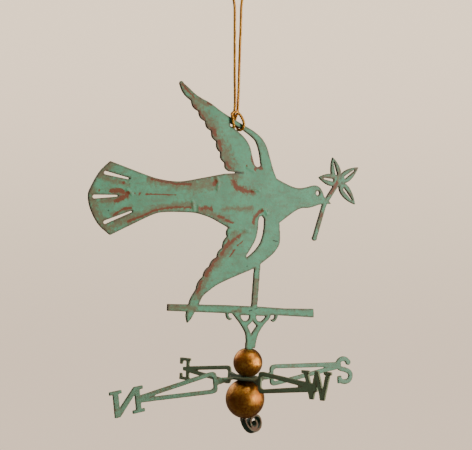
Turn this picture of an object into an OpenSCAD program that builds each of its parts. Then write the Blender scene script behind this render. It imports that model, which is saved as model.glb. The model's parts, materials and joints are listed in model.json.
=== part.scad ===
// Hanging ornament in the form of a dove weather vane, millimetres.
// Every plate is drawn in the vane's own plane: X towards the dove's head, Z up the stem,
// with the centre of the compass disc at zero. hang() then sets that plane at the angle it
// hangs at, with the row's origin at the inside top of the cord's loop.

/* [Sheet] */
// Thickness of the stamped sheet that the vane and the compass are cut from
sheet_t = 1.0; // [0.8:0.1:1.2]
// Width of the strip that runs down through the balls
strip_w = 3.0; // [2.4:0.1:3.0]

/* [Balls] */
// Diameter of the upper ball
upper_ball_d = 12; // [10:0.5:13]
// Diameter of the lower ball
lower_ball_d = 16; // [14:0.5:17]
// Bore through both balls and the compass disc
bore_d = 3.3; // [3.3:0.1:3.6]

/* [Compass] */
// Diameter of the compass disc
disc_d = 14; // [12:0.5:15]
// Distance from the axis to the inner stem of each letter
letter_r = 48; // [46:1:52]
// Width of the two converging bars of an arm
bar_w = 1.7; // [1.4:0.1:2]
// How far the compass is turned from square to the vane, degrees
compass_turn = 2; // [-10:1:10]

/* [Hanging] */
// Lean of the vane in its own plane as it hangs, degrees, head side down
hang_tilt = 3.2; // [0:0.1:6]
// Diameter of the cord
cord_d = 1.2; // [1:0.1:1.4]

/* [Hidden] */
$fn = 64;
gap = 0.1;
verdigris = [0.45, 0.67, 0.55];
dark_verdigris = [0.22, 0.36, 0.28];
antique_gold = [0.62, 0.42, 0.16];
cord_gold = [0.80, 0.55, 0.15];

// Heights of the ball centres: each ball rests on the rim of its bore.
function rim(d) = sqrt(pow(d / 2, 2) - pow(bore_d / 2, 2));
upper_z = sheet_t / 2 + gap + rim(upper_ball_d);
lower_z = -sheet_t / 2 - gap - rim(lower_ball_d);
neck_z = upper_z + rim(upper_ball_d) + gap;
exit_z = lower_z - rim(lower_ball_d) - gap;

// The cord is knotted here, on the strip above the upper wing's slot, in the vane's plane.
hitch_x = -15.4;
hitch_z = 103.1;
// The row's origin stands this far above the hitch, straight up the cord.
cord_drop = 55;

module hang() {
  hx = hitch_x * cos(hang_tilt) + hitch_z * sin(hang_tilt);
  hz = hitch_z * cos(hang_tilt) - hitch_x * sin(hang_tilt);
  translate([-hx, 0, -hz - cord_drop]) rotate([0, hang_tilt, 0]) children();
}

// ---------------------------------------------------------------- curves and outlines

function reversed(p) = [for (i = [len(p) - 1 : -1 : 0]) p[i]];

// One closed outline from stretches that each start where the one before ends.
function outline(stretches) = [for (p = stretches, i = [0 : len(p) - 2]) p[i]];

// A smooth curve through every point, with n steps between two points.
function curve(p, n = 4) = concat(
  [for (i = [0 : len(p) - 2], k = [0 : n - 1]) knot(p, i, k / n)],
  [p[len(p) - 1]]);
function knot(p, i, t) =
  let (b = p[i], c = p[i + 1],
       a = i > 0 ? p[i - 1] : 2 * b - c,
       d = i < len(p) - 2 ? p[i + 2] : 2 * c - b)
  0.5 * (2 * b + (c - a) * t + (2 * a - 5 * b + 4 * c - d) * t * t
         + (3 * b - a - 3 * c + d) * t * t * t);

// One rounded feather tip between two notches, standing out by h to the right of the way b to c.
function feather(b, c, h, n = 5) =
  let (s = c - b, side = [s[1], -s[0]] / norm(s))
  [for (k = [0 : n - 1]) b + s * k / n + side * h * sin(180 * k / n)];
function feathers(p, h) = concat(
  [for (i = [0 : len(p) - 2]) each feather(p[i], p[i + 1], h)],
  [p[len(p) - 1]]);

// A band of width w along a centre line; the ends are cut square.
function heading(p, i) =
  let (d = p[min(i + 1, len(p) - 1)] - p[max(i - 1, 0)]) d / norm(d);
function shifted(p, s) =
  [for (i = [0 : len(p) - 1]) let (h = heading(p, i)) p[i] + s * [-h[1], h[0]]];
module band(p, w) polygon(concat(shifted(p, w / 2), reversed(shifted(p, -w / 2))));

// A slit from a wide round end to a narrow one.
module slit(a, b, wa, wb) {
  d = (b - a) / norm(b - a);
  s = [-d[1], d[0]];
  polygon([a + s * wa / 2, a - s * wa / 2, b - s * wb / 2, b + s * wb / 2]);
  translate(a) circle(d = wa, $fn = 20);
  translate(b) circle(d = wb, $fn = 20);
}

// Stands a flat outline up in the vane's plane, centred on it.
module sheet() translate([0, sheet_t / 2, 0]) rotate([90, 0, 0]) linear_extrude(sheet_t) children();

// ---------------------------------------------------------------- the vane's outline

wing_front = [[-39.2, 115.4], [-37.1, 114.2], [-33.9, 112.1], [-30.8, 110.8], [-26.8, 109.5],
  [-22, 107.1], [-18.4, 105.6], [-10.6, 102.7], [-6.2, 101.1], [-2.4, 99], [0.2, 96.4],
  [1.8, 93.6], [3.2, 90.2], [4.9, 86.3], [6.8, 82.9]];
head = [[6.8, 82.9], [10.4, 81.6], [15, 80.3], [18.4, 80], [22, 80.7], [25.4, 81.8],
  [27.6, 81.9], [29.4, 81], [30.7, 79.3], [31.6, 77.6], [33.4, 76.4], [35.6, 74.9]];
throat = [[35.6, 74.9], [31.5, 74.4], [29.2, 73.9], [26.6, 72.9], [24, 72.1], [20.4, 71.6],
  [17.6, 70.3], [14.8, 68.3], [10, 64.6]];
low_wing_front = [[10, 64.6], [10.4, 61.8], [10.9, 58.2], [10.6, 55.4], [9.3, 53.2], [7.4, 51],
  [2.4, 47], [-1.4, 44.6], [-7.6, 41.9], [-14, 39], [-18, 36.9], [-21.3, 34.4], [-23.5, 32.4],
  [-24.8, 29.6], [-26.4, 26.4], [-27.9, 23.4], [-29.5, 21.5]];
low_wing_back = [[-29.5, 21.5], [-30.3, 24.6], [-29.8, 27.6], [-29, 31], [-27.9, 33.2], [-26.8, 35]];
low_notches = [[-26.8, 35], [-24.1, 40.3], [-21.6, 44.5], [-18.5, 48.4], [-16.2, 52.4], [-14.5, 57],
  [-14.2, 60.6]];
tail_under = [[-14.2, 60.6], [-21.4, 63.5], [-25.6, 64.6], [-30, 65.2], [-36, 65], [-43.4, 64.3],
  [-48, 63], [-56.6, 58.4], [-65.1, 53.7]];
tail_end = [[-65.1, 53.7], [-70.1, 57.4], [-73.7, 62.8], [-75.1, 67.8], [-74.1, 71.6], [-71.3, 77.2],
  [-67.4, 81.6]];
tail_over = [[-67.4, 81.6], [-59.8, 79.8], [-49.8, 77.5], [-44.8, 76.9], [-40.8, 76.8], [-35.8, 77.3],
  [-26.8, 79.7], [-17.7, 82.2]];
wing_slit = [[-17.7, 82.2], [-9.6, 83.4], [-15.8, 83.3]];
high_notches = [[-15.8, 83.3], [-18.3, 86.5], [-20.5, 90.4], [-22.8, 94.6], [-25.5, 98.5], [-28.5, 101.9], [-31.9, 105.5],
  [-35.5, 109.2], [-41.1, 114.9]];
wing_tip = [[-41.1, 114.9], [-41.2, 115.6], [-40.9, 116.1], [-40.4, 116.3], [-39.8, 116.1], [-39.2, 115.4]];

module dove_outline() {
  polygon(outline([
    curve(wing_front), curve(head), curve(throat), curve(low_wing_front), curve(low_wing_back),
    feathers(low_notches, -0.7), curve(tail_under), curve(tail_end), curve(tail_over),
    wing_slit, feathers(high_notches, -0.9), wing_tip]));
}

// A leaf from its base to its tip, w across, with a slit along its middle.
function leaf_side(l, h, n = 8) =
  [for (k = [0 : n]) let (t = k / n) [l * t, h * pow(sin(180 * pow(t, 0.8)), 0.8) * (1 - 0.25 * t)]];
module leaf(base, tip, w, slit_w) {
  d = tip - base;
  l = norm(d);
  translate(base) rotate(atan2(d[1], d[0])) difference() {
    polygon(outline([leaf_side(l, w / 1.7), reversed(leaf_side(l, -w / 1.7))]));
    slit([l * 0.3, 0], [l * 0.78, 0], slit_w, slit_w * 0.5);
  }
}

branch_line = [[28.3, 59.6], [29.4, 64], [30.8, 69.5], [32.1, 74.4], [33.8, 77.4], [36.2, 81.2], [38.6, 84.6]];
module branch() {
  band(curve(branch_line), 2.1);
  translate(branch_line[0]) circle(d = 2.4, $fn = 20);
  translate(branch_line[6]) circle(d = 3.4, $fn = 24);
  leaf([38.6, 84.9], [28, 85.6], 5, 1.1);
  leaf([38.2, 85], [34.5, 95], 5, 1.1);
  leaf([39, 84.8], [48.6, 92.2], 4.8, 1.1);
  leaf([39, 84.4], [48.3, 75.7], 5, 1.1);
}

// Long tapering slots in the wings.
wing_slot = concat(
  curve([[-17.2, 102.7], [-12.8, 101.4], [-10.4, 100.4], [-7.6, 99], [-5, 97.3], [-3.6, 95.2], [-2.4, 92.2],
    [-1.1, 87.2]]),
  curve([[-2.6, 86.4], [-4.2, 87.4], [-5.8, 91], [-6.9, 93.9], [-8.5, 96.3], [-11, 98.5], [-14.2, 100.4],
    [-17.2, 101.7]]));
low_wing_slot = concat(
  curve([[-4.6, 49], [-1.2, 52], [1.3, 55.4], [2.4, 59.2], [2.6, 63], [2.4, 65.6], [1.2, 66.8]]),
  curve([[0, 66.2], [-0.3, 64.8], [-0.3, 61], [-0.9, 57.2], [-2.7, 53.4], [-4.8, 50]]));

module post() polygon([[-0.5, 27], [-0.5, 48], [2.3, 50], [2.3, 27]]);
module crossbar() polygon([[-38.7, 26.1], [-38.7, 28.8], [-13, 29.4], [3, 29.4], [16, 29.1], [30.5, 29.5],
  [30.8, 25.8], [13, 26.1], [-20, 26.1]]);

// The neck flares into two arms that carry the crossbar, with a scroll hanging under each.
// Below it the same sheet goes on as a narrow strip.
neck_left = [[-1.8, neck_z], [-1.8, 15.2], [-2.1, 17.2], [-2.7, 18.8], [-4, 20.6], [-5.6, 22.5], [-7.5, 24.4],
  [-10, 27]];
neck_right = [[9.6, 27], [8.6, 24.6], [6.7, 22.6], [5.2, 20.6], [4.1, 18.8], [3.5, 17.1], [3.1, 15.2],
  [2.8, neck_z]];
scroll_left = [[-12.4, 27], [-12.2, 25.2], [-11.5, 23.9], [-10.4, 23.3], [-9.5, 23.6], [-9.2, 24.3],
  [-10.1, 24.3], [-10.7, 24.8], [-11, 25.6], [-11, 27]];
scroll_right = [[12.6, 27], [12.5, 25.2], [11.8, 23.9], [10.7, 23.2], [9.8, 23.6], [9.4, 24.3],
  [10.4, 24.3], [11, 24.9], [11.2, 25.6], [11.2, 27]];
window_left = [[-5.4, 25.6], [-0.9, 25.6], [-1.2, 24.3], [-2, 23.4], [-3.6, 23.3], [-4.8, 24.2]];
window_right = [[2.1, 25.6], [7, 25.6], [6, 24.3], [4.8, 23.4], [3.2, 23.4], [2.4, 24.3]];
module bracket() difference() {
  polygon(concat(
    [[strip_w / 2, lower_z - 1], [-strip_w / 2, lower_z - 1], [-strip_w / 2, neck_z]],
    curve(neck_left), curve(neck_right), [[strip_w / 2, neck_z]]));
  polygon(window_left);
  polygon(window_right);
  polygon([[-1.6, 21.2], [0.6, 23.3], [2.8, 21.5], [0.4, 18]]);
}

// The strip goes down through both balls. Inside the lower ball it is twisted by curl_turn,
// and below it is rolled up and leans over, so that the balls can't drop off.
curl_turn = 100;
curl_lean = -24;
curl_z = exit_z - 0.8;
curl_line = [[0, 0.2], [0, -0.3], [0.3, -1.9], [1.4, -3.8], [3.2, -4.9], [5.3, -4.9], [7.3, -3.6], [8.2, -1.4],
  [7.8, 0.5], [6.3, 1.3], [4.6, 0.7], [3.2, -0.1], [2.5, -1.5], [2.7, -3], [3.9, -3.8], [5.3, -3.3], [5.9, -1.9],
  [5.4, -0.6]];
module curl() {
  tang = [sheet_t + 0.06, strip_w - 0.1, lower_z - curl_z + 0.4];
  rotate([0, 0, curl_turn]) translate([0, 0, lower_z - tang[2] / 2]) cube(tang, center = true);
  translate([0, 0, curl_z]) rotate([0, 0, curl_turn - 90]) rotate([curl_lean, 0, 0])
    translate([0, strip_w / 2, 0]) rotate([90, 0, 0]) linear_extrude(strip_w) band(curve(curl_line), sheet_t);
}

module dove_plate() color(verdigris) hang() {
  sheet() difference() {
    union() {
      dove_outline();
      branch();
      post();
      crossbar();
      bracket();
      polygon(scroll_left);
      polygon(scroll_right);
    }
    polygon(wing_slot);
    polygon(low_wing_slot);
    slit([-68.9, 77], [-59.4, 75.8], 1.3, 0.6);
    slit([-72.6, 67.6], [-63.4, 68.8], 1.4, 0.6);
    slit([-67.5, 58.4], [-57, 63.4], 1.3, 0.6);
    translate([28.1, 78.8]) circle(d = 1.9, $fn = 24);
  }
  curl();
}

// ---------------------------------------------------------------- balls

module ball(d) difference() {
  sphere(d = d);
  cylinder(h = d + 2, d = bore_d, center = true);
}
module upper_ball() color(antique_gold) hang() translate([0, 0, upper_z]) ball(upper_ball_d);
module lower_ball() color(antique_gold) hang() translate([0, 0, lower_z]) ball(lower_ball_d);

// ---------------------------------------------------------------- compass

// Each arm was twisted and bent a little differently by hand. Its letter, its direction, the
// distance of its frame from the axis, the frame's height over the disc and the arm's slope.
ARMS = [["N", 179, 14, -1.5, -11, 8.8], ["E", 90, 12.4, -0.6, -4.6, 7.6], ["S", 0, 11.4, 0.9, 7, 8.8],
  ["W", 269.3, 9.3, -0.3, 5.8, 8.6]];
// Length of a frame up to where the inner edges of its two bars meet.
frame_l = 30.4;

// Letters stand with the inner edge of their first stem at x = 0, and the arm meets them at y = 0.
module letter_n() polygon([[-1.4, 5.1], [2.4, 5.1], [8.9, -1.8], [8.9, 3.8], [7.5, 3.8], [7.5, 5.1], [12.6, 5.1],
  [12.6, 3.8], [11.2, 3.8], [11.2, -5.2], [9, -5.2], [2.2, 2.2], [2.2, -3.8], [3.7, -3.8], [3.7, -5.1],
  [-1.4, -5.1], [-1.4, -3.8], [0, -3.8], [0, 3.8], [-1.4, 3.8]]);
module letter_e() polygon([[-1.2, 5], [8, 5], [8, 2], [6.4, 2], [5.8, 3.6], [2.1, 3.6], [2.1, 0.9], [5, 0.9],
  [5, -0.9], [2.1, -0.9], [2.1, -3.6], [5.8, -3.6], [6.4, -2], [8, -2], [8, -5], [-1.2, -5], [-1.2, -3.8],
  [0, -3.8], [0, 3.8], [-1.2, 3.8]]);
module letter_s() {
  band(curve([[4.8, 0.6], [3.8, 2], [2, 2.6], [0, 2.1], [-0.9, 0.6], [0.2, -1.3], [3.2, -2.4], [5.3, -3.6],
    [6, -5.1], [5.2, -7], [3.2, -7.6], [1.2, -7.2], [0, -6.2]]), 2.1);
  translate([4.8, 0.8]) circle(d = 2.5, $fn = 20);
  translate([-1.1, -7.9]) square([2, 3.2]);
}
module letter_w() polygon([[-9.1, 6.2], [-4.4, 6.2], [-4.4, 5], [-5, 5], [-2.6, -0.8], [-0.6, 6.2], [1.3, 6.2],
  [4, -0.8], [5.9, 5], [4.8, 5], [4.8, 6.2], [9.1, 6.2], [9.1, 5], [8, 5], [5, -4.3], [2.9, -4.3], [0.5, 2.4],
  [-1.7, -4.3], [-3.8, -4.3], [-7.4, 5], [-9.1, 5]]);
module letter(c) {
  if (c == "N") letter_n();
  if (c == "E") letter_e();
  if (c == "S") letter_s();
  if (c == "W") letter_w();
}

// The frame: a rounded yoke at the inner end and two bars that run together towards the letter.
function folded(p) = concat(p, [for (q = reversed(p)) [q[0], -q[1]]]);
module arm_frame(frame_r, frame_h) {
  h = frame_h / 2;
  difference() {
    polygon(folded([[letter_r + 0.6, 1.35], [frame_r + 3, h], [frame_r + 1.3, h - 0.1],
      [frame_r + 0.4, h - 0.6], [frame_r, h - 1.6]]));
    polygon(folded([[frame_r + bar_w, h - bar_w - 0.6], [frame_r + 3, h - bar_w], [frame_r + frame_l, 0.01]]));
  }
  translate([frame_r - 0.6, -1.3]) square([1.6, 2.6]);
}

module arm(letter_name, azimuth, frame_r, lift, slope, frame_h) rotate([0, 0, azimuth + compass_turn]) {
  neck_r = disc_d / 2 - 1;
  run = frame_r - neck_r;
  translate([neck_r, 0, 0]) rotate([0, 90 - atan2(lift, run), 0]) rotate([0, 0, 90])
    linear_extrude(norm([run, lift]) + 0.5, twist = -90, slices = 12, $fn = 4)
      square([2.6, sheet_t], center = true);
  translate([frame_r, 0, lift]) rotate([0, -slope, 0]) translate([-frame_r, sheet_t / 2, 0]) rotate([90, 0, 0])
    linear_extrude(sheet_t) {
      arm_frame(frame_r, frame_h);
      translate([letter_r, 0]) letter(letter_name);
    }
}

// The compass is one stamped piece. Its disc and its arms are nodes of their own, so that each
// keeps a simple shape, and they meet at the disc's rim.
module compass_disc() color(dark_verdigris) hang() difference() {
  cylinder(h = sheet_t, d = disc_d, center = true);
  cylinder(h = sheet_t + 2, d = bore_d, center = true);
}
module compass_arm(a) color(dark_verdigris) hang() difference() {
  arm(a[0], a[1], a[2], a[3], a[4], a[5]);
  cylinder(h = 10, d = disc_d, center = true);
}
module compass_arm_n() compass_arm(ARMS[0]);
module compass_arm_e() compass_arm(ARMS[1]);
module compass_arm_s() compass_arm(ARMS[2]);
module compass_arm_w() compass_arm(ARMS[3]);

// ---------------------------------------------------------------- cord

// A tube along a route, with flat ends. Its rings keep their direction from one to the next.
function ahead(p, i) =
  let (d = p[min(i + 1, len(p) - 1)] - p[max(i - 1, 0)]) d / norm(d);
function side(p, i) =
  let (from = i == 0 ? [1, 0, 0] : side(p, i - 1), t = ahead(p, i), s = from - (from * t) * t) s / norm(s);
function ring(p, i, r, sides) =
  let (a = side(p, i), b = cross(ahead(p, i), a))
  [for (k = [0 : sides - 1]) p[i] + r * (cos(360 * k / sides) * a + sin(360 * k / sides) * b)];
module tube(p, d, sides = 8) {
  last = len(p) - 1;
  start = [for (k = [0 : sides - 1]) k];
  walls = [for (i = [0 : last - 1], k = [0 : sides - 1]) let (m = (k + 1) % sides)
    [i * sides + k, (i + 1) * sides + k, (i + 1) * sides + m, i * sides + m]];
  polyhedron([for (i = [0 : last]) each ring(p, i, d / 2, sides)],
    concat([start], walls, [[for (k = reversed(start)) last * sides + k]]));
}

// The doubled cord is hitched round the strip over the upper wing's slot, in the vane's frame:
// down behind the strip, forward through the slot, up the front, across both standing strands
// and back the same way.
hitch_route = [[-15.2, 0.5, 107.5], [-15.1, 1, 106], [-14.9, 1.2, 104.6], [-14.6, 1.2, 103], [-14.6, 1, 101.7],
  [-15.2, 0.2, 101.1], [-15.8, -0.8, 101.4], [-16.2, -1.2, 102.5], [-16.5, -1.2, 103.8], [-16.9, -1.2, 105.1],
  [-17.2, -1.1, 106.3], [-16.4, -1, 107.2], [-15.1, -1, 107.4], [-13.8, -1, 106.9], [-12.7, -1.1, 105.8],
  [-11.8, -1.2, 104.4], [-11.3, -1.2, 103], [-11.4, -1, 101.6], [-11.9, -0.2, 100.7], [-12.6, 0.8, 100.7],
  [-13.1, 1.3, 101.8], [-13.5, 1.7, 103.2], [-13.8, 1.9, 104.6], [-13.8, 1.4, 106], [-13.7, 0.6, 107.4]];
// From the hitch up one strand, round the loop at the top and down the other, in the row's frame.
function hung(p) =
  [(p[0] - hitch_x) * cos(hang_tilt) + (p[2] - hitch_z) * sin(hang_tilt), p[1],
   (p[2] - hitch_z) * cos(hang_tilt) - (p[0] - hitch_x) * sin(hang_tilt) - cord_drop];
loop_r = 2.8;
loop_z = cord_d / 2 - loop_r;
cord_route = concat(
  [hung(hitch_route[0]), [0.4, 0.2, -47], [0.1, 0, -42], [-0.2, 0, -36], [-0.4, 0, -30], [-0.6, 0, -24],
   [-0.8, 0, -18], [-1, 0, -12], [-1.2, 0, -8], [-1.9, 0, -4.8]],
  [for (a = [170 : -40 : 10]) [loop_r * cos(a), 0, loop_z + loop_r * sin(a)]],
  [[2.2, 0, -4.8], [1.9, 0, -8], [1.9, 0, -12], [1.9, 0, -18], [1.8, 0, -24], [1.8, 0, -30], [1.8, 0, -36],
   [1.8, 0, -42], [1.8, 0.2, -47], hung(hitch_route[len(hitch_route) - 1])]);

module cord_hitch() color(cord_gold) hang() tube(curve(hitch_route, 2), cord_d);
module hanging_cord() color(cord_gold) tube(curve(cord_route, 2), cord_d);

dove_plate();
upper_ball();
compass_disc();
compass_arm_n();
compass_arm_e();
compass_arm_s();
compass_arm_w();
lower_ball();
cord_hitch();
hanging_cord();
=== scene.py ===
"""The looks of a small hanging ornament in the form of a dove weather vane.

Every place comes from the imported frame. The plate and the compass are remeshed from their nodes, so that
they carry soft stamped edges, creases and rubbed paint. The balls, the cord and its hitch are built here.
"""

import json
import math

import bmesh
import bpy
import numpy as np
from mathutils import Matrix, Vector, noise
from mathutils.kdtree import KDTree


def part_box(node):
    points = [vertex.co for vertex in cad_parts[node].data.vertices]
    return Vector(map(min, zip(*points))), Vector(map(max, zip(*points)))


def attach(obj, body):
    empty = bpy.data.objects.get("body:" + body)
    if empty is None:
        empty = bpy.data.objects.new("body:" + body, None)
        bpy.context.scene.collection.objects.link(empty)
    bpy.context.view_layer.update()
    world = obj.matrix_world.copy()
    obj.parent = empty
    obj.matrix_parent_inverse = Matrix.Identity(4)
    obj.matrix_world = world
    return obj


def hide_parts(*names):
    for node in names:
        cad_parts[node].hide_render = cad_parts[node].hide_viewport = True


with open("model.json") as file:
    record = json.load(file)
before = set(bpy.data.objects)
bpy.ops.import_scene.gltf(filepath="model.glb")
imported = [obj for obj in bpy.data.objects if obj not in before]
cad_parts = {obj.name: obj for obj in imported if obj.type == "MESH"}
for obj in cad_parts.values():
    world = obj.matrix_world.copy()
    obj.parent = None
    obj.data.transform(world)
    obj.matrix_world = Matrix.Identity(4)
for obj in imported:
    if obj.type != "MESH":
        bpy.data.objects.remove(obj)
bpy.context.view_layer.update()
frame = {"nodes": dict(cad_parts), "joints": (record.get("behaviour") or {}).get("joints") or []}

# ---------------------------------------------------------------- the vane's own frame

MM = 0.001
SPIN = next(j for j in frame["joints"] if j["name"] == "compass_spin")
HUB = np.array(SPIN["pos_m"])
STEM = np.array(SPIN["axis"]) / np.linalg.norm(SPIN["axis"])
ACROSS = np.array([0.0, 1.0, 0.0])
VANE = np.stack([np.cross(ACROSS, STEM), ACROSS, STEM])


def to_vane(points):
    """Points of the row frame, in the vane's own frame and in millimetres: X to the head, Z up the stem."""
    return (points - HUB) @ VANE.T / MM


# ---------------------------------------------------------------- camera

def make_camera():
    turn, roll = math.radians(30), math.radians(1.7)
    distance, aside, above = 0.390, -0.0062, 0.0625
    forward = Vector((math.sin(turn), math.cos(turn), 0))
    level = Vector((math.cos(turn), -math.sin(turn), 0))
    up = Vector((0, 0, 1))
    right = math.cos(roll) * level + math.sin(roll) * up
    top = math.cos(roll) * up - math.sin(roll) * level
    data = bpy.data.cameras.new("camera")
    data.sensor_width = 36
    data.lens = 72.6
    camera = bpy.data.objects.new("camera", data)
    place = Vector(HUB) - distance * forward + aside * level + above * up
    camera.matrix_world = Matrix.Translation(place) @ Matrix((right, top, -forward)).transposed().to_4x4()
    bpy.context.scene.collection.objects.link(camera)
    bpy.context.scene.camera = camera


make_camera()

# ---------------------------------------------------------------- shader helpers


def new_material(name):
    material = bpy.data.materials.new(name)
    material.use_nodes = True
    tree = material.node_tree
    return material, tree, tree.nodes["Principled BSDF"]


def put(links, socket, value):
    """Links a socket to another one, or sets its value."""
    if isinstance(value, bpy.types.NodeSocket):
        links.new(value, socket)
    else:
        socket.default_value = value


def maths(tree, operation, a, b=0.0):
    node = tree.nodes.new("ShaderNodeMath")
    node.operation = operation
    put(tree.links, node.inputs[0], a)
    put(tree.links, node.inputs[1], b)
    return node.outputs[0]


def smooth_step(tree, value, low, high):
    """0 below low, 1 above high, and a soft step between them."""
    node = tree.nodes.new("ShaderNodeMapRange")
    node.interpolation_type = "SMOOTHSTEP"
    put(tree.links, node.inputs["Value"], value)
    node.inputs["From Min"].default_value = low
    node.inputs["From Max"].default_value = high
    return node.outputs["Result"]


def blend(tree, factor, a, b):
    node = tree.nodes.new("ShaderNodeMix")
    node.data_type = "RGBA"
    put(tree.links, node.inputs["Factor"], factor)
    put(tree.links, node.inputs["A"], a)
    put(tree.links, node.inputs["B"], b)
    return node.outputs["Result"]


def millimetres(tree):
    """The piece's own coordinates, scaled so that noise scales count per millimetre."""
    place = tree.nodes.new("ShaderNodeTexCoord")
    scale = tree.nodes.new("ShaderNodeVectorMath")
    scale.operation = "SCALE"
    tree.links.new(place.outputs["Object"], scale.inputs[0])
    scale.inputs["Scale"].default_value = 1 / MM
    return scale.outputs[0]


def noise_of(tree, vector, scale, detail=4.0, rough=0.55, distortion=0.0):
    """A fractal noise whose usual values are spread over 0 to 1."""
    node = tree.nodes.new("ShaderNodeTexNoise")
    tree.links.new(vector, node.inputs["Vector"])
    node.inputs["Scale"].default_value = scale
    node.inputs["Detail"].default_value = detail
    node.inputs["Roughness"].default_value = rough
    node.inputs["Distortion"].default_value = distortion
    spread = tree.nodes.new("ShaderNodeMapRange")
    tree.links.new(node.outputs["Fac"], spread.inputs["Value"])
    spread.inputs["From Min"].default_value = 0.28
    spread.inputs["From Max"].default_value = 0.72
    return spread.outputs["Result"]


def ragged(tree, mask, grain, amount, low, high):
    """A mask whose border breaks up along a noise."""
    shift = maths(tree, "MULTIPLY", maths(tree, "SUBTRACT", grain, 0.5), amount)
    return smooth_step(tree, maths(tree, "ADD", mask, shift), low, high)


def attribute(tree, name):
    node = tree.nodes.new("ShaderNodeAttribute")
    node.attribute_name = name
    return node.outputs["Fac"]


def bump(tree, height, strength, distance):
    node = tree.nodes.new("ShaderNodeBump")
    node.inputs["Strength"].default_value = strength
    node.inputs["Distance"].default_value = distance
    tree.links.new(height, node.inputs["Height"])
    return node.outputs["Normal"]


# ---------------------------------------------------------------- materials

BROWN_PATINA = (0.150, 0.088, 0.040, 1)
BARE_COPPER = (0.165, 0.040, 0.010, 1)
WORN_EDGE = (0.090, 0.056, 0.032, 1)
CUT_WALL_AND_PAINTED_SHADE = (0.050, 0.038, 0.024, 1)
DARK_PIT = (0.018, 0.024, 0.014, 1)


def verdigris_paint(name, light, deep, shade):
    """Blue-green paint, rubbed through to brown and copper where the mesh's attributes say, and darkened by
    its wall attribute on cut walls and as painted shade.
    """
    material, tree, shader = new_material(name)
    links = tree.links
    place = millimetres(tree)
    cloud = noise_of(tree, place, 0.12, 5, 0.6)
    mottle = noise_of(tree, place, 0.75, 6, 0.65)
    grain = noise_of(tree, place, 2.4, 5, 0.7)
    paint = blend(tree, smooth_step(tree, cloud, 0.2, 0.8), light, deep)
    thin = maths(tree, "MULTIPLY", maths(tree, "MULTIPLY", mottle, grain), 0.75)
    paint = blend(tree, thin, paint, shade)
    # The paint was wiped along the sheet, which leaves faint drawn-out streaks.
    drawn = tree.nodes.new("ShaderNodeMapping")
    links.new(place, drawn.inputs["Vector"])
    drawn.inputs["Scale"].default_value = (0.35, 1.0, 1.25)
    streak = noise_of(tree, drawn.outputs["Vector"], 0.55, 6, 0.7)
    paint = blend(tree, maths(tree, "MULTIPLY", smooth_step(tree, streak, 0.45, 1.0), 0.45), paint, shade)
    patina = ragged(tree, attribute(tree, "patina"), mottle, 0.9, 0.1, 0.95)
    paint = blend(tree, maths(tree, "MULTIPLY", patina, 0.75), paint, BROWN_PATINA)
    copper = ragged(tree, attribute(tree, "copper"), mottle, 0.8, 0.25, 0.75)
    paint = blend(tree, maths(tree, "MULTIPLY", copper, 0.95), paint, BARE_COPPER)
    edge = ragged(tree, attribute(tree, "edge"), mottle, 0.7, 0.05, 0.95)
    paint = blend(tree, maths(tree, "MULTIPLY", edge, 0.72), paint, WORN_EDGE)
    # The wall attribute gives the dark cut walls, and painted shade on the curl's faces and round the compass
    # disc.
    wall = maths(tree, "MULTIPLY", attribute(tree, "wall"), 0.85)
    paint = blend(tree, wall, paint, CUT_WALL_AND_PAINTED_SHADE)
    pit = ragged(tree, attribute(tree, "pit"), grain, 0.5, 0.3, 0.8)
    paint = blend(tree, maths(tree, "MULTIPLY", pit, 0.85), paint, DARK_PIT)
    links.new(paint, shader.inputs["Base Color"])
    rough = maths(tree, "ADD", maths(tree, "MULTIPLY", grain, 0.2), 0.45)
    links.new(rough, shader.inputs["Roughness"])
    shader.inputs["Specular IOR Level"].default_value = 0.25
    height = maths(tree, "ADD", maths(tree, "MULTIPLY", mottle, 0.6), maths(tree, "MULTIPLY", grain, 0.3))
    height = maths(tree, "SUBTRACT", height, maths(tree, "MULTIPLY", copper, 0.5))
    links.new(bump(tree, height, 0.45, 0.00010), shader.inputs["Normal"])
    return material


def antique_gold_paint():
    """Gold paint over umber, with a darker wash in clouds and darker round the bores."""
    material, tree, shader = new_material("antique_gold")
    links = tree.links
    place = millimetres(tree)
    cloud = noise_of(tree, place, 0.20, 4, 0.6, 0.6)
    mottle = noise_of(tree, place, 1.0, 6, 0.7)
    grain = noise_of(tree, place, 4.2, 4, 0.75)
    bronze, yellow, wash, bore_dark = ((0.40, 0.110, 0.020, 1), (0.72, 0.360, 0.066, 1), (0.24, 0.062, 0.014, 1),
                                  (0.05, 0.024, 0.010, 1))
    gold = blend(tree, smooth_step(tree, mottle, 0.2, 0.85), bronze, yellow)
    umber = ragged(tree, cloud, mottle, 0.7, 0.35, 0.95)
    gold = blend(tree, maths(tree, "MULTIPLY", umber, 0.75), gold, wash)
    # The balls are painted darker round their bores.
    rim = ragged(tree, attribute(tree, "rim"), mottle, 0.5, 0.3, 0.9)
    gold = blend(tree, rim, gold, bore_dark)
    links.new(gold, shader.inputs["Base Color"])
    shader.inputs["Metallic"].default_value = 1.0
    links.new(maths(tree, "ADD", maths(tree, "MULTIPLY", mottle, 0.13), 0.28), shader.inputs["Roughness"])
    height = maths(tree, "ADD", maths(tree, "MULTIPLY", mottle, 0.3), maths(tree, "MULTIPLY", grain, 0.6))
    links.new(bump(tree, height, 0.75, 0.00012), shader.inputs["Normal"])
    return material


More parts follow.
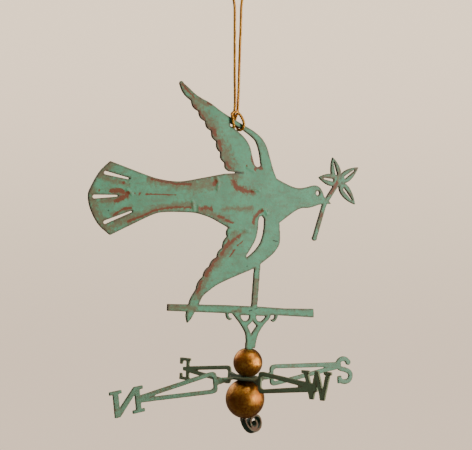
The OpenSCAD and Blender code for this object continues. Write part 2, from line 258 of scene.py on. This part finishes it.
def gold_thread():
    """Metallic thread: fine filaments run along each ply, whose turns the mesh already has."""
    material, tree, shader = new_material("gold_thread")
    links = tree.links
    laid = tree.nodes.new("ShaderNodeUVMap")
    stretch = tree.nodes.new("ShaderNodeMapping")
    links.new(laid.outputs["UV"], stretch.inputs["Vector"])
    stretch.inputs["Scale"].default_value = (40, 3, 1)
    filament = noise_of(tree, stretch.outputs["Vector"], 1.0, 3, 0.6)
    place = millimetres(tree)
    cloud = noise_of(tree, place, 0.8, 3, 0.5)
    groove, crown, tarnish = (0.36, 0.115, 0.008, 1), (0.92, 0.46, 0.06, 1), (0.26, 0.070, 0.006, 1)
    # Darker where the filament noise is low, in the bump's grooves: painted shade.
    gold = blend(tree, smooth_step(tree, filament, 0.35, 0.65), groove, crown)
    gold = blend(tree, maths(tree, "MULTIPLY", smooth_step(tree, cloud, 0.45, 0.7), 0.5), gold, tarnish)
    links.new(gold, shader.inputs["Base Color"])
    shader.inputs["Metallic"].default_value = 0.6
    shader.inputs["Roughness"].default_value = 0.33
    links.new(bump(tree, filament, 0.6, 0.00008), shader.inputs["Normal"])
    return material


# ---------------------------------------------------------------- mesh helpers

def linked(name, mesh):
    piece = bpy.data.objects.new(name, mesh)
    bpy.context.scene.collection.objects.link(piece)
    return piece


def mesh_of(name, points, faces, uvs=None):
    mesh = bpy.data.meshes.new(name)
    mesh.from_pydata([tuple(p) for p in points], [], faces)
    if uvs is not None:
        layer = mesh.uv_layers.new(name="UVMap")
        corners = np.array([uvs[v] for face in faces for v in face], np.float32)
        layer.data.foreach_set("uv", corners.ravel())
    mesh.shade_smooth()
    return mesh


def vertices_of(mesh):
    points = np.zeros(len(mesh.vertices) * 3, np.float32)
    mesh.vertices.foreach_get("co", points)
    return points.reshape(-1, 3).astype(float)


def normals_of(mesh):
    normals = np.zeros(len(mesh.vertices) * 3, np.float32)
    mesh.vertex_normals.foreach_get("vector", normals)
    return normals.reshape(-1, 3).astype(float)


def add_attribute(mesh, name, values):
    layer = mesh.attributes.new(name, "FLOAT", "POINT")
    layer.data.foreach_set("value", np.asarray(values, np.float32))


def welded(nodes):
    """One bmesh of the CAD nodes' surfaces, with their split corners joined."""
    whole = bmesh.new()
    for node in nodes:
        whole.from_mesh(frame["nodes"][node].data)
    bmesh.ops.remove_doubles(whole, verts=whole.verts, dist=0.002 * MM)
    return whole


def skin(name, nodes, voxel, softening):
    """A dense even mesh round the nodes with softened edges, and each point's millimetres to a sharp edge."""
    sharp_angle, spacing = math.radians(50), 0.25 * MM
    whole = welded(nodes)
    sharp = []
    for edge in whole.edges:
        if len(edge.link_faces) == 2 and edge.calc_face_angle(0) > sharp_angle:
            a, b = edge.verts[0].co, edge.verts[1].co
            steps = max(1, math.ceil((b - a).length / spacing))
            sharp += [a.lerp(b, k / steps) for k in range(steps + 1)]
    coarse = bpy.data.meshes.new(name + "_coarse")
    whole.to_mesh(coarse)
    whole.free()
    draft = linked(name + "_draft", coarse)
    remesh = draft.modifiers.new("remesh", "REMESH")
    remesh.mode = "VOXEL"
    remesh.voxel_size = voxel
    soften = draft.modifiers.new("soften", "SMOOTH")
    soften.factor = 0.5
    soften.iterations = softening
    mesh = bpy.data.meshes.new_from_object(draft.evaluated_get(bpy.context.evaluated_depsgraph_get()))
    mesh.name = name
    bpy.data.objects.remove(draft)
    tree = KDTree(len(sharp))
    for i, point in enumerate(sharp):
        tree.insert(point, i)
    tree.balance()
    away = np.array([tree.find(v.co)[2] for v in mesh.vertices]) / MM
    return mesh, away


def from_strokes(points, strokes):
    """The highest of all strokes at each point: 1 on a stroke's line, 0.5 at its stated half width."""
    best = np.zeros(len(points))
    for half, line in strokes:
        line = np.array(line if len(line) > 1 else line * 2, float)
        for a, b in zip(line[:-1], line[1:]):
            along = b - a
            t = np.clip((points - a) @ along / max(along @ along, 1e-9), 0, 1)
            away = np.linalg.norm(points - a - t[:, None] * along, axis=1)
            best = np.maximum(best, np.clip(1 - 0.5 * away / half, 0, 1))
    return best


# ---------------------------------------------------------------- cord

# Millimetres. The hitch's route is in the vane's frame, and the cord's is in the row's.
CORD = 1.2
HITCH_X, HITCH_Z, CORD_DROP = -15.4, 103.1, 55
HANG_TILT = math.atan2(STEM[0], STEM[2])
HITCH_ROUTE = [
    (-15.2, 0.5, 107.5), (-15.1, 1, 106), (-14.9, 1.2, 104.6), (-14.6, 1.2, 103), (-14.6, 1, 101.7),
    (-15.2, 0.2, 101.1), (-15.8, -0.8, 101.4), (-16.2, -1.2, 102.5), (-16.5, -1.2, 103.8),
    (-16.9, -1.2, 105.1), (-17.2, -1.1, 106.3), (-16.4, -1, 107.2), (-15.1, -1, 107.4), (-13.8, -1, 106.9),
    (-12.7, -1.1, 105.8), (-11.8, -1.2, 104.4), (-11.3, -1.2, 103), (-11.4, -1, 101.6), (-11.9, -0.2, 100.7),
    (-12.6, 0.8, 100.7), (-13.1, 1.3, 101.8), (-13.5, 1.7, 103.2), (-13.8, 1.9, 104.6), (-13.8, 1.4, 106),
    (-13.7, 0.6, 107.4)]
LOOP_R = 2.8
LOOP_Z = CORD / 2 - LOOP_R


def hung(point):
    """A point of the vane's frame in the row's frame, in millimetres."""
    x, z = point[0] - HITCH_X, point[2] - HITCH_Z
    return (x * math.cos(HANG_TILT) + z * math.sin(HANG_TILT), point[1],
            z * math.cos(HANG_TILT) - x * math.sin(HANG_TILT) - CORD_DROP)


CORD_ROUTE = (
    [hung(HITCH_ROUTE[0]), (0.4, 0.2, -47), (0.1, 0, -42), (-0.2, 0, -36), (-0.4, 0, -30), (-0.6, 0, -24),
     (-0.8, 0, -18), (-1, 0, -12), (-1.2, 0, -8), (-1.9, 0, -4.8)]
    + [(LOOP_R * math.cos(math.radians(a)), 0, LOOP_Z + LOOP_R * math.sin(math.radians(a)))
       for a in range(170, 9, -40)]
    + [(2.2, 0, -4.8), (1.9, 0, -8), (1.9, 0, -12), (1.9, 0, -18), (1.8, 0, -24), (1.8, 0, -30),
       (1.8, 0, -36), (1.8, 0, -42), (1.8, 0.2, -47), hung(HITCH_ROUTE[-1])])


def smooth_route(knots, step):
    """Evenly spaced points on the smooth curve through the knots, in metres."""
    p = np.array(knots, float)
    p = np.vstack([2 * p[0] - p[1], p, 2 * p[-1] - p[-2]])
    fine = []
    for a, b, c, d in zip(p, p[1:], p[2:], p[3:]):
        for t in np.linspace(0, 1, 16, endpoint=False):
            fine.append(0.5 * (2 * b + (c - a) * t + (2 * a - 5 * b + 4 * c - d) * t ** 2
                               + (3 * b - a - 3 * c + d) * t ** 3))
    fine = np.array(fine + [p[-2]])
    reach = np.concatenate([[0], np.cumsum(np.linalg.norm(np.diff(fine, axis=0), axis=1))])
    even = np.linspace(0, reach[-1], max(2, round(reach[-1] / step)) + 1)
    return np.stack([np.interp(even, reach, fine[:, k]) for k in range(3)], axis=1) * MM


def ply_section(sides, plies=3):
    """The outline of three round plies side by side, as radii for a full turn, 1 at the crown of a ply."""
    lobe = 2 * math.pi / plies
    out, groove = 0.536, 0.84
    radii = []
    for k in range(sides):
        off = (k * 2 * math.pi / sides + lobe / 2) % lobe - lobe / 2
        ply = out * math.cos(off) + math.sqrt(max(0.0, (1 - out) ** 2 - (out * math.sin(off)) ** 2))
        radii.append(max(ply, groove))
    return radii


def twisted_cord(name, route, pitch=3.0, sides=24):
    """A three-ply cord along a route: the section turns once in every pitch."""
    section = ply_section(sides)
    ahead = np.gradient(route, axis=0)
    ahead /= np.linalg.norm(ahead, axis=1)[:, None]
    aside = np.cross(ahead[0], [0.3, 1, 0.2])
    points, uvs = [], []
    run = 0.0
    for i, centre in enumerate(route):
        aside = aside - (aside @ ahead[i]) * ahead[i]
        aside /= np.linalg.norm(aside)
        other = np.cross(ahead[i], aside)
        run += np.linalg.norm(centre - route[max(i - 1, 0)]) / MM
        for k in range(sides):
            turn = 2 * math.pi * (k / sides + run / pitch)
            radius = CORD / 2 * MM * section[k]
            points.append(centre + radius * (math.cos(turn) * aside + math.sin(turn) * other))
            uvs.append((k / sides, run / 3))
    faces = []
    for here in range(0, len(points) - sides, sides):
        after = here + sides
        for k in range(sides):
            beside = (k + 1) % sides
            faces.append((here + k, here + beside, after + beside, after + k))
    faces += [tuple(reversed(range(sides))), tuple(range(len(points) - sides, len(points)))]
    return linked(name, mesh_of(name, points, faces, uvs))


def make_cord():
    thread = gold_thread()
    hitch = twisted_cord("hitch", smooth_route([hung(p) for p in HITCH_ROUTE], 0.12))
    cord_path = smooth_route(CORD_ROUTE, 0.15)
    cord = twisted_cord("cord", cord_path)
    for piece, node in ((hitch, "cord_hitch"), (cord, "hanging_cord")):
        piece.data.materials.append(thread)
        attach(piece, "vane")
        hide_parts(node)


make_cord()

# ---------------------------------------------------------------- the stamped plate

# Strokes in the vane's frame, in millimetres: half width, then the line that the mark follows.
COPPER = [
    (0.8, [(-66.2, 70.3), (-63, 71), (-59.4, 70.1)]), (0.8, [(-59.6, 69.7), (-61.6, 68.1), (-64.3, 66.8)]),
    (0.22, [(-51.6, 70.6), (-46, 71), (-39, 71.5)]), (0.5, [(-70.9, 70.1)]), (0.4, [(-56.4, 70.5)]),
    (0.55, [(-54.3, 70.6)]), (0.4, [(-51.6, 70.6)]),
    (0.5, [(-61.5, 74)]), (0.45, [(-64.6, 61.2), (-61.9, 63.3), (-60, 64.3), (-57.5, 64.7)]),
    (0.4, [(-58.3, 59.5), (-53.5, 61.6), (-47.4, 64.8), (-43.2, 65.8), (-39, 66.7), (-32, 67.2)]),
    (0.5, [(-50, 76.6), (-44.2, 76.3), (-39.4, 75.8), (-33, 76.3)]), (0.7, [(-22.5, 77.6), (-21.6, 78.6)]),
    (0.75, [(-27.9, 67), (-26.2, 67.6), (-23, 67.5)]), (0.55, [(-19.3, 64.9), (-17.2, 64.4)]),
    (0.45, [(-15.7, 63.6), (-12.5, 62.6)]),
    (1.1, [(-13.6, 79.2), (-12.4, 77.8)]), (1.0, [(-12.6, 77.3), (-10, 76.7), (-7.2, 76.1)]),
    (0.5, [(-7.2, 76.1), (-4, 76.1)]),
    (0.6, [(-6.1, 90.4), (-5, 87.8), (-3.3, 86.4), (-0.9, 86.2)]), (0.4, [(-8.1, 86.4)]), (0.6, [(-4, 85.4)]),
    (0.85, [(-2.9, 63.4), (-2.5, 65.7), (-0.9, 67.8), (0.8, 68.7)]),
    (0.6, [(-8.8, 58), (-12, 55.4), (-15.4, 52)]), (0.8, [(-13.6, 55), (-16.6, 49.8)]),
    (0.9, [(-18.4, 48.4), (-20.8, 45), (-23, 41)]), (0.7, [(-24.8, 38.2), (-26.2, 34.2)]),
    (0.35, [(-10.6, 52), (-12.8, 49)]), (0.3, [(-7.4, 55.6), (-9.6, 53.6)]),
    (0.55, [(-34.2, 107.2), (-31.4, 105), (-28.8, 102.6)]), (1.0, [(-25.8, 99.4), (-23.6, 97.4)]),
    (0.7, [(-22, 94.6), (-20.2, 91.4)]), (0.7, [(-17.4, 86.2), (-15.6, 84.8)]),
    (0.7, [(37.4, 84.2), (36.6, 82), (34.8, 79.4)]), (0.4, [(30.9, 70.2), (30.6, 69)]),
    (0.35, [(-40.2, 115.2), (-37.6, 112.8), (-34.5, 110.7)]), (0.35, [(-28.4, 109.4), (-26.4, 108.7)])]
PATINA = [
    (3.0, [(-34.4, 107.4), (-28.8, 102.8), (-25.2, 98.8), (-22.2, 94.8), (-19.2, 90.2), (-16.4, 85.8)]),
    (1.7, [(-73.6, 69), (-72, 62), (-66, 56)]), (1.2, [(-71.4, 75.6), (-67, 80)]),
    (1.0, [(-69.6, 74.8), (-60, 73.4)]), (1.3, [(-66, 56.6), (-56, 61.8)]),
    (1.0, [(-40.4, 115.2), (-34.5, 110.4), (-28.6, 108.6)]),
    (2.4, [(-33, 76), (-27.6, 76.6), (-22.6, 78)]), (1.6, [(-50, 76.2), (-41, 75.6), (-33, 75.8)]),
    (1.8, [(-10.4, 57.8), (-15.8, 50), (-21.8, 42.6), (-26.2, 33.4)]), (0.8, [(-7, 59.4), (-12.3, 55)]),
    (1.3, [(-57.8, 60), (-47.2, 65.2), (-39, 67.2), (-31.6, 67.8)]), (1.1, [(-28, 66.6), (-14.2, 63.2)]),
    (1.2, [(-69.5, 66.2), (-64.4, 67), (-59.6, 69.6), (-66, 70.6)]), (0.9, [(-72.2, 63), (-71.4, 59.4)]),
    (0.9, [(-65, 61.4), (-57.4, 64.9)]), (0.8, [(-57.7, 62)]), (1.2, [(-16.3, 82.1), (-11.6, 81.4)]),
    (1.2, [(-14, 79.2), (-10, 76.6), (-4, 76)]), (0.9, [(-17, 68), (-4.2, 69.4)]),
    (1.2, [(0.6, 40), (0.5, 31)]), (1.4, [(-38, 27.6), (-27, 27.7)]), (0.7, [(-9, 27.2), (-6, 27.4)]),
    (0.9, [(31, 70.4), (29.6, 64)]), (0.8, [(34, 78.4), (37.6, 84.4), (38.4, 90)]),
    (0.8, [(30, 85.6), (36, 86.4)]), (0.8, [(44, 89), (48, 91.6)]), (0.8, [(42, 82), (45.4, 79.4)])]
PITS = [
    (0.35, [(-58.7, 75.9)]), (0.3, [(-58.8, 73.9)]), (0.2, [(-68.4, 70.1)]), (0.35, [(-66.6, 62.9)]),
    (0.3, [(-63.5, 68.8)]), (0.35, [(-4.2, 45.7)]), (0.25, [(7.4, 57.1), (9.6, 56.7)]),
    (0.25, [(-1.6, 27.5), (-0.2, 27.8)]), (0.2, [(1, 28.4), (2.2, 28.5)]),
    (0.25, [(-13.6, 83.1), (-10, 83.3)]), (0.3, [(3.4, 69)]), (0.2, [(-8.7, 27), (-7.6, 27.2)])]
# Creases that the die left: height, half width and the line of the ridge.
CREASES = [
    (0.22, 0.5, [(-59.6, 71.4), (-57.8, 70)]), (0.25, 0.6, [(-21.6, 80), (-20.4, 78.1), (-20.8, 75.8)]),
    (0.22, 0.5, [(-31.5, 69.6), (-30.6, 66.4)]), (0.18, 0.5, [(-28.7, 68.2), (-28.5, 66)]),
    (0.22, 0.5, [(-4.4, 76.6), (-1.5, 77)]), (0.25, 0.6, [(1, 69.4), (2.4, 69.2), (3.4, 67.8)]),
    (0.15, 0.6, [(-7.6, 85.8), (-4.4, 84.6)]), (0.12, 0.7, [(-14, 59), (-9.4, 60.6), (-5, 60.2)])]

PLATE_HALF, NECK_Z, CURL_TOP_Z = 0.6, 10, -10
CURL_TURN, CURL_LEAN = math.radians(10), math.radians(-24)
CURL_AXIS = np.array([-math.sin(CURL_TURN) * math.cos(CURL_LEAN), math.cos(CURL_TURN) * math.cos(CURL_LEAN),
                      math.sin(CURL_LEAN)])


def make_plate():
    """The stamped vane: the die's creases and a slight waviness in its shape, its marks as attributes."""
    mesh, away = skin("vane_plate", ["dove_plate"], 0.24 * MM, 2)
    points = vertices_of(mesh)
    place = to_vane(points)
    flat = place[:, [0, 2]]
    normals = normals_of(mesh)
    on_plate = (np.abs(place[:, 1]) < PLATE_HALF) & (flat[:, 1] > NECK_Z)
    lift = np.zeros(len(points))
    for height, half, line in CREASES:
        ridge = from_strokes(flat, [(half, line)])
        lift = np.maximum(lift, height * ridge ** 2 * (3 - 2 * ridge))
    # The sheet is slightly wavy, by up to about a tenth of a millimetre.
    wave = np.array([noise.noise(Vector(p) * 90) for p in points]) * 0.10
    points[:, 1] -= np.where(on_plate, lift + wave, 0) * MM
    mesh.vertices.foreach_set("co", points.astype(np.float32).ravel())
    # On the plate, the marks are on both faces and the cut walls are dark. On the curl, the strip's cut edges
    # are worn to copper and its faces carry painted shade.
    face = np.clip(2 * np.abs(normals[:, 1]) - 0.4, 0, 1)
    curl = np.clip(CURL_TOP_Z - flat[:, 1], 0, 1)
    cut = np.clip(3 * np.abs(normals @ VANE.T @ CURL_AXIS) - 2, 0, 1)
    add_attribute(mesh, "copper", np.maximum(from_strokes(flat, COPPER) * face, 0.6 * curl * cut))
    add_attribute(mesh, "patina", np.maximum(from_strokes(flat, PATINA) * face, curl * cut))
    add_attribute(mesh, "pit", from_strokes(flat, PITS) * face)
    add_attribute(mesh, "edge", np.exp(-((away / 0.75) ** 2)))
    # The wall attribute darkens the plate's cut walls; on the curl it is painted shade on the strip's faces.
    add_attribute(mesh, "wall", np.where(curl > 0, 0.8 * curl * (1 - cut), 1 - face))
    mesh.shade_smooth()
    mesh.materials.append(verdigris_paint("verdigris", (0.084, 0.382, 0.212, 1), (0.078, 0.305, 0.172, 1),
                                          (0.150, 0.110, 0.066, 1)))
    piece = linked("vane_plate", mesh)
    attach(piece, "vane")
    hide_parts("dove_plate")


make_plate()

# ---------------------------------------------------------------- the compass

# How far each arm's paint is turned to a shaded olive, as painted shade. The disc is painted dark as painted
# shade as well.
ARM_PAINTED_SHADE = {"compass_arm_n": 0.1, "compass_arm_e": 0.7, "compass_arm_s": 0.05, "compass_arm_w": 0.7}
DISC_R, DISC_SHADE, DISC_PAINTED_SHADE = 7.0, 0.2, 0.8


def make_compass():
    """The compass: its disc and its four arms in one skin, with each arm's painted shade."""
    nodes = ["compass_disc", *ARM_PAINTED_SHADE]
    mesh, away = skin("compass_plate", nodes, 0.24 * MM, 1)
    points = vertices_of(mesh)
    place = to_vane(points)
    angle = np.arctan2(place[:, 1], place[:, 0])
    reach = np.hypot(place[:, 0], place[:, 1])
    shade = np.full(len(points), DISC_SHADE)
    for node, value in ARM_PAINTED_SHADE.items():
        low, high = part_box(node)
        middle = to_vane(np.array((low + high) / 2))
        off = np.abs((angle - math.atan2(middle[1], middle[0]) + math.pi) % (2 * math.pi) - math.pi)
        near = (off < math.pi / 4) & (reach > DISC_R)
        fade = np.clip((reach - DISC_R) / 4, 0, 1)
        shade = np.where(near, DISC_SHADE + (value - DISC_SHADE) * fade, shade)
    # The shade attribute is painted shade, strongest on the east and west arms.
    add_attribute(mesh, "shade", shade)
    add_attribute(mesh, "edge", 0.7 * np.exp(-((away / 0.35) ** 2)))
    # The disc is painted dark as painted shade, fading out along the arms.
    add_attribute(mesh, "wall", DISC_PAINTED_SHADE * (1 - np.clip((reach - DISC_R) / 3, 0, 1)))
    for name in ("copper", "pit"):
        add_attribute(mesh, name, np.zeros(len(points)))
    worn = np.array([noise.noise(Vector(p) * 110 + Vector((7, 3, 1))) for p in points])
    add_attribute(mesh, "patina", np.clip(0.12 + 0.8 * worn, 0, 1))
    mesh.shade_smooth()
    mesh.materials.append(compass_paint())
    piece = linked("compass_plate", mesh)
    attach(piece, "compass")
    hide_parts(*nodes)


def compass_paint():
    """The plate's paint, turned to a shaded olive as painted shade where the mesh's shade attribute says."""
    material = verdigris_paint("dark_verdigris", (0.125, 0.335, 0.215, 1), (0.105, 0.275, 0.170, 1),
                               (0.130, 0.090, 0.055, 1))
    tree = material.node_tree
    shader = tree.nodes["Principled BSDF"]
    paint = shader.inputs["Base Color"].links[0].from_socket
    # The olive with brown edges that the painted shade turns to.
    dark = blend(tree, maths(tree, "MULTIPLY", attribute(tree, "edge"), 0.7), (0.225, 0.285, 0.150, 1),
                 (0.230, 0.105, 0.055, 1))
    tree.links.new(blend(tree, attribute(tree, "shade"), paint, dark), shader.inputs["Base Color"])
    return material


make_compass()

# ---------------------------------------------------------------- the balls

BORE_R, RIM_ROUND, BORE_DARK_WIDTH = 1.65 * MM, 0.35 * MM, 1.3 * MM


def make_ball(name, node, body, gold):
    """A bead with a rounded bore rim and a hand-painted, slightly uneven face."""
    low, high = (np.array(corner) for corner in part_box(node))
    centre, radius = (low + high) / 2, (high[0] - low[0]) / 2
    start = math.asin((BORE_R + RIM_ROUND) / radius)
    rim_z = radius * math.cos(start) - RIM_ROUND
    rim = []
    for k in range(7):
        turn = math.radians(180 - 15 * k)
        rim.append((BORE_R + RIM_ROUND + RIM_ROUND * math.cos(turn), rim_z + RIM_ROUND * math.sin(turn)))
    profile = list(rim)
    steps, around = 96, 144
    for k in range(1, steps):
        turn = start + (math.pi - 2 * start) * k / steps
        profile.append((radius * math.sin(turn), radius * math.cos(turn)))
    profile += [(r, -z) for r, z in reversed(rim)]
    points, rims = [], []
    for r, z in profile:
        for k in range(around):
            turn = 2 * math.pi * k / around
            local = np.array([r * math.cos(turn), r * math.sin(turn), z]) @ VANE
            out = local / np.linalg.norm(local)
            dent = noise.noise(Vector(out) * 5 + Vector((radius * 900, 0, 0)))
            fine = noise.noise(Vector(out) * 22)
            skin_r = 1 - 0.004 * max(0, dent) - 0.0022 * max(0, fine)
            points.append(centre + local * skin_r)
            rims.append(max(0.0, 1 - (r - BORE_R) / BORE_DARK_WIDTH))
    # The last ring joins the first one, down the wall of the bore.
    faces = []
    for i in range(len(profile)):
        here, next_ring = i * around, (i + 1) % len(profile) * around
        for k in range(around):
            beside = (k + 1) % around
            faces.append((here + k, next_ring + k, next_ring + beside, here + beside))
    mesh = mesh_of(name, points, faces)
    add_attribute(mesh, "rim", rims)
    mesh.materials.append(gold)
    piece = linked(name, mesh)
    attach(piece, body)
    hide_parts(node)


def make_balls():
    gold = antique_gold_paint()
    make_ball("upper_bead", "upper_ball", "upper_ball", gold)
    make_ball("lower_bead", "lower_ball", "lower_ball", gold)


make_balls()

# ---------------------------------------------------------------- studio

def make_cove():
    """A pale seamless floor and wall all round, which only the camera sees."""
    radius, floor = 3.0, -0.45
    mesh = bpy.data.meshes.new("studio_cove")
    shell = bmesh.new()
    bmesh.ops.create_uvsphere(shell, u_segments=64, v_segments=48, radius=radius)
    for vertex in shell.verts:
        vertex.co.z = max(vertex.co.z, floor)
    shell.to_mesh(mesh)
    shell.free()
    mesh.shade_smooth()
    cove = linked("studio_cove", mesh)
    cove.location = Vector(HUB)
    material = bpy.data.materials.new("cove")
    material.use_nodes = True
    tree = material.node_tree
    tree.nodes.clear()
    glow = tree.nodes.new("ShaderNodeEmission")
    place = tree.nodes.new("ShaderNodeTexCoord")
    split = tree.nodes.new("ShaderNodeSeparateXYZ")
    tree.links.new(place.outputs["Object"], split.inputs[0])
    # The backdrop is painted lighter towards the top: painted light.
    height = smooth_step(tree, split.outputs["Z"], -0.5, 0.9)
    tree.links.new(blend(tree, height, (1.16, 0.905, 0.672, 1), (1.72, 1.35, 0.975, 1)), glow.inputs["Color"])
    glow.inputs["Strength"].default_value = 1.0
    out = tree.nodes.new("ShaderNodeOutputMaterial")
    tree.links.new(glow.outputs[0], out.inputs["Surface"])
    mesh.materials.append(material)
    cove.visible_diffuse = False
    cove.visible_glossy = False
    cove.visible_transmission = False
    cove.visible_shadow = False


def make_light(name, offset, size, power, colour):
    data = bpy.data.lights.new(name, "AREA")
    data.shape = "DISK"
    data.size = size
    data.energy = power
    data.color = colour
    lamp = bpy.data.objects.new(name, data)
    target = Vector(HUB) + Vector((0, 0, 0.045))
    lamp.location = target + Vector(offset)
    lamp.rotation_mode = "QUATERNION"
    lamp.rotation_quaternion = (target - lamp.location).to_track_quat("-Z", "Y")
    lamp.visible_camera = False
    bpy.context.scene.collection.objects.link(lamp)


def make_studio():
    make_cove()
    make_light("key_light", (0.70, -0.70, 0.08), 0.40, 11.5, (1.0, 0.96, 0.90))
    make_light("top_light", (0.24, -0.46, 0.74), 0.16, 3.5, (1.0, 0.93, 0.78))
    make_light("side_light", (-0.66, 0.20, 0.62), 0.16, 0.8, (1.0, 0.86, 0.66))
    make_light("back_light", (-0.20, 0.85, 0.40), 0.50, 3.0, (1.0, 0.96, 0.90))
    world = bpy.data.worlds.new("studio")
    world.use_nodes = True
    world.node_tree.nodes["Background"].inputs["Color"].default_value = (1.0, 0.97, 0.92, 1)
    world.node_tree.nodes["Background"].inputs["Strength"].default_value = 0.13
    bpy.context.scene.world = world


make_studio()
